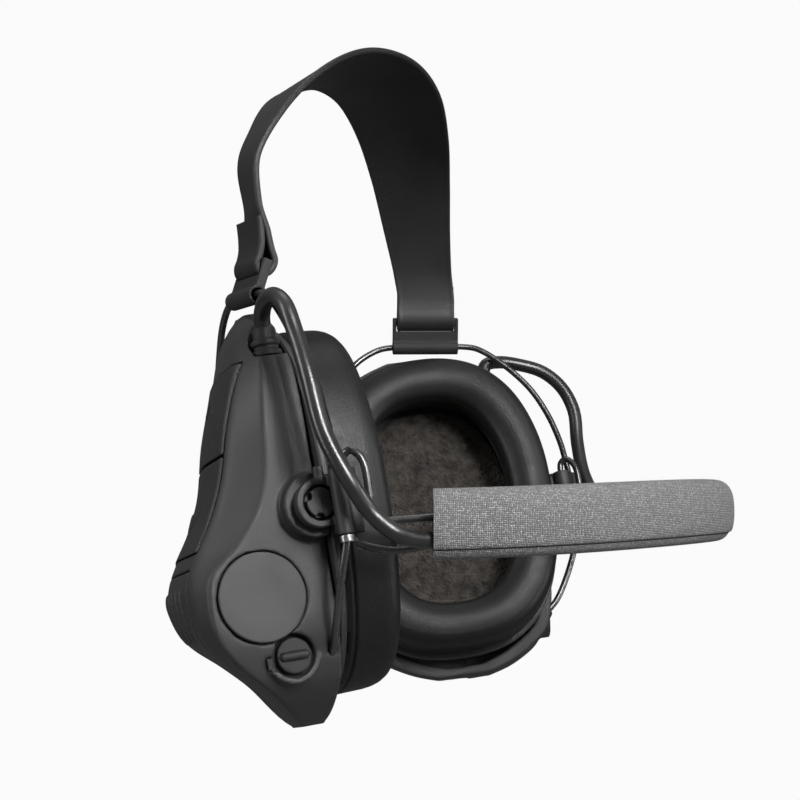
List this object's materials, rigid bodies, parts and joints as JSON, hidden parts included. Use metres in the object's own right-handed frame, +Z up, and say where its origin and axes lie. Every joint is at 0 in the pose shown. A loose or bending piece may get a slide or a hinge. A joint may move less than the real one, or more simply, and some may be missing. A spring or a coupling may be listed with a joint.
{
  "type": "radio headphones",
  "caption": "Behind-the-head radio headset: two deep ear cups on wire hoops, hinged to a sleeved spring neckband, with a wide strap over the head.",
  "frame": {"origin": "middle of the head, half way between the two swivel axes in plan and level with the middles of the ear cups", "axes": "+X to the wearer's right, +Y to where the wearer faces, +Z up"},
  "size_m": [0.2244, 0.1543, 0.1929],
  "materials": {
    "shell_plastic": "fine-grained matte",
    "disc_plastic": "smooth matte",
    "soft_rubber": "matte",
    "leatherette": "semi-gloss, fine grain",
    "foam": "open-cell foam",
    "coated_steel": "black coating, satin",
    "bright_steel": "satin",
    "speaker_metal": "satin",
    "strap_rubber": "satin",
    "heather_cloth": "grey heather knit",
    "cable_rubber": "satin",
    "circuit_board": "solder mask",
    "battery_jacket": "printed sleeve, left plain"
  },
  "bodies": {
    "band": {"neckband_wire": "coated_steel", "neckband_crimp": "bright_steel", "neckband_spring": "bright_steel", "neckband_padding": "foam", "neckband_sleeve": "heather_cloth", "left_cable": "cable_rubber", "middle_cable": "cable_rubber", "right_cable": "cable_rubber", "overhead_strap": "strap_rubber"},
    "left_cup": {"left_housing": "shell_plastic", "left_mic_port_cover": "disc_plastic", "left_port_tab": "soft_rubber", "left_pivot_post": "soft_rubber", "left_hinge_block": "shell_plastic", "left_wire_ferrule": "bright_steel", "left_hoop_wire": "coated_steel", "left_seal_plate": "shell_plastic", "left_ear_cushion": "leatherette", "left_foam_liner": "foam", "left_speaker": "speaker_metal", "left_circuit_board": "circuit_board", "left_battery": "battery_jacket", "left_cable_gland": "soft_rubber", "left_strap_loop": "soft_rubber"},
    "left_volume_up": {"left_volume_up_key": "soft_rubber"},
    "left_volume_down": {"left_volume_down_key": "soft_rubber"},
    "left_battery_lid": {"left_battery_door": "shell_plastic"},
    "left_plug": {"left_port_plug": "soft_rubber"},
    "right_cup": {"right_housing": "shell_plastic", "right_mic_port_cover": "disc_plastic", "right_port_tab": "soft_rubber", "right_pivot_post": "soft_rubber", "right_hinge_block": "shell_plastic", "right_wire_ferrule": "bright_steel", "right_hoop_wire": "coated_steel", "right_seal_plate": "shell_plastic", "right_ear_cushion": "leatherette", "right_foam_liner": "foam", "right_speaker": "speaker_metal", "right_circuit_board": "circuit_board", "right_battery": "battery_jacket", "right_cable_gland": "soft_rubber", "right_strap_loop": "soft_rubber"},
    "right_volume_up": {"right_volume_up_key": "soft_rubber"},
    "right_volume_down": {"right_volume_down_key": "soft_rubber"},
    "right_battery_lid": {"right_battery_door": "shell_plastic"},
    "right_plug": {"right_port_plug": "soft_rubber"}
  },
  "joints": [
    {"name": "left_swivel", "type": "hinge", "parent": "band", "child": "left_cup", "pos_m": [-0.0905, 0, 0.0066], "axis": [0.012, 0.1896, 0.9818], "range_deg": [-25, 50], "deforming": ["left_cable", "overhead_strap"]},
    {"name": "left_volume_up_press", "type": "slide", "parent": "left_cup", "child": "left_volume_up", "axis": [0.6825, -0.7192, 0.1305], "range_m": [0, 0.0006], "stiffness_N_per_m": 1500},
    {"name": "left_volume_down_press", "type": "slide", "parent": "left_cup", "child": "left_volume_down", "axis": [0.6825, -0.7192, 0.1305], "range_m": [0, 0.0006], "stiffness_N_per_m": 1500},
    {"name": "left_battery_lid_pull", "type": "slide", "parent": "left_cup", "child": "left_battery_lid", "axis": [-0.6825, 0.7192, -0.1305], "range_m": [0, 0.016]},
    {"name": "left_port_plug_turn", "type": "hinge", "parent": "left_cup", "child": "left_plug", "pos_m": [-0.09318, 0.01403, -0.03386], "axis": [0.7308, 0.6685, -0.138], "range_deg": [0, 90]},
    {"name": "right_swivel", "type": "hinge", "parent": "band", "child": "right_cup", "pos_m": [0.0905, 0, 0.0066], "axis": [0.2118, 0.2611, 0.9418], "range_deg": [-30, 45], "deforming": ["right_cable", "overhead_strap"]},
    {"name": "right_volume_up_press", "type": "slide", "parent": "right_cup", "child": "right_volume_up", "axis": [-0.8511, -0.4244, 0.309], "range_m": [0, 0.0006], "stiffness_N_per_m": 1500},
    {"name": "right_volume_down_press", "type": "slide", "parent": "right_cup", "child": "right_volume_down", "axis": [-0.8511, -0.4244, 0.309], "range_m": [0, 0.0006], "stiffness_N_per_m": 1500},
    {"name": "right_battery_lid_pull", "type": "slide", "parent": "right_cup", "child": "right_battery_lid", "axis": [0.8511, 0.4244, -0.309], "range_m": [0, 0.016]},
    {"name": "right_port_plug_turn", "type": "hinge", "parent": "right_cup", "child": "right_plug", "pos_m": [0.09104, 0.00888, -0.03538], "axis": [-0.4803, 0.867, -0.1324], "range_deg": [0, 90]}
  ]
}
